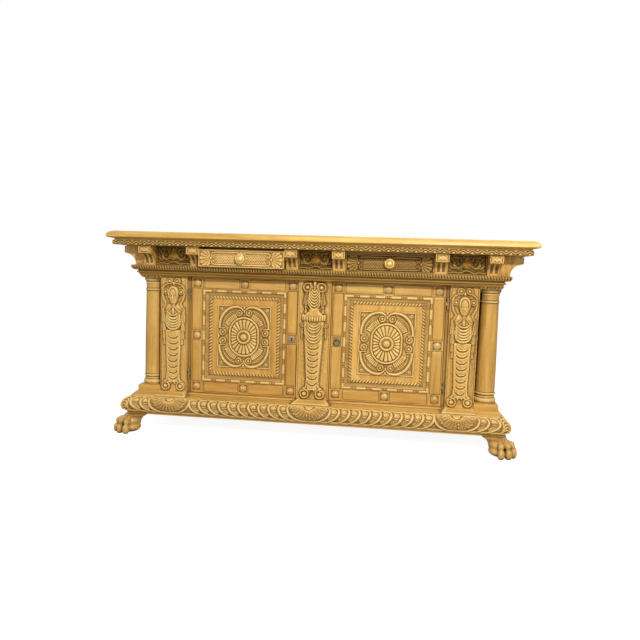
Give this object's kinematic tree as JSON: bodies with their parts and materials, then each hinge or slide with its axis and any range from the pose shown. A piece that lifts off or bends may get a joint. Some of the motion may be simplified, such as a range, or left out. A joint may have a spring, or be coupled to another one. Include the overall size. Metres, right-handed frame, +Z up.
{
  "type": "credenza",
  "caption": "Long carved oak credenza with paired cupboard doors, frieze drawers, corner columns, carved terms and a gadrooned base on lion paw feet.",
  "frame": {"origin": "on the floor, under the middle of the whole outline", "axes": "+X along the front to the right-hand end, +Y to the back, +Z up"},
  "size_m": [2.04, 0.6, 0.988],
  "materials": {
    "carved_oak": "waxed carved oak, honey coloured, darker in the cuts",
    "polished_oak": "waxed plain oak, honey coloured",
    "inner_oak": "unpolished oak boards",
    "steel": "dull grey iron and steel fittings",
    "brass": "dull gilt brass"
  },
  "bodies": {
    "carcass": {"top_slab": "polished_oak", "band_front": "carved_oak", "band_left": "carved_oak", "band_right": "carved_oak", "frieze_frame": "polished_oak", "frieze_ends": "polished_oak", "frieze_panels": "carved_oak", "front_brackets": "carved_oak", "end_brackets": "carved_oak", "drawer_runners": "inner_oak", "waist_front": "carved_oak", "waist_left": "carved_oak", "waist_right": "carved_oak", "cupboard_deck": "inner_oak", "column_caps": "carved_oak", "columns": "polished_oak", "column_plinths": "polished_oak", "left_term": "carved_oak", "centre_term": "carved_oak", "right_term": "carved_oak", "niche_boards": "inner_oak", "side_frames": "polished_oak", "side_panels": "polished_oak", "centre_partition": "inner_oak", "cupboard_floor": "inner_oak", "shelves": "inner_oak", "shelf_cleats": "inner_oak", "door_stops": "inner_oak", "back_boards": "inner_oak", "plinth_moulding": "polished_oak", "plinth_ends": "polished_oak", "base_front": "carved_oak", "base_left": "carved_oak", "base_right": "carved_oak", "base_fillets": "polished_oak", "left_paw": "carved_oak", "right_paw": "carved_oak", "rear_feet": "polished_oak", "hinge_leaves": "steel", "hinge_pins": "steel"},
    "left_door": {"left_door_frame": "polished_oak", "left_door_panel": "carved_oak", "left_door_moulding": "carved_oak", "left_door_bosses": "carved_oak", "left_door_lock": "steel", "left_door_hinges": "steel"},
    "lock_bolt": {"lock_bolt": "steel"},
    "right_door": {"right_door_frame": "polished_oak", "right_door_panel": "carved_oak", "right_door_moulding": "carved_oak", "right_door_bosses": "carved_oak", "pull_plate": "steel", "right_door_hinges": "steel"},
    "ring_pull": {"ring_pull": "steel"},
    "left_drawer": {"left_drawer_front": "carved_oak", "left_drawer_box": "inner_oak", "left_knob": "brass"},
    "right_drawer": {"right_drawer_front": "carved_oak", "right_drawer_box": "inner_oak", "right_knob": "brass"}
  },
  "joints": [
    {"name": "left_door_hinge", "type": "hinge", "parent": "carcass", "child": "left_door", "pos_m": [-0.64, -0.108, 0.4795], "axis": [0, 0, -1], "range_deg": [0, 95]},
    {"name": "right_door_hinge", "type": "hinge", "parent": "carcass", "child": "right_door", "pos_m": [0.64, -0.108, 0.4795], "axis": [0, 0, 1], "range_deg": [0, 95]},
    {"name": "left_drawer_slide", "type": "slide", "parent": "carcass", "child": "left_drawer", "axis": [0, -1, 0], "range_m": [-0.064, 0.236]},
    {"name": "right_drawer_slide", "type": "slide", "parent": "carcass", "child": "right_drawer", "axis": [0, -1, 0], "range_m": [0, 0.3]},
    {"name": "lock_bolt_slide", "type": "slide", "parent": "left_door", "child": "lock_bolt", "axis": [1, 0, 0], "range_m": [0, 0.011]},
    {"name": "ring_pull_swing", "type": "hinge", "parent": "right_door", "child": "ring_pull", "pos_m": [0.113, -0.107, 0.4885], "axis": [-1, 0, 0], "range_deg": [0, 95]}
  ]
}
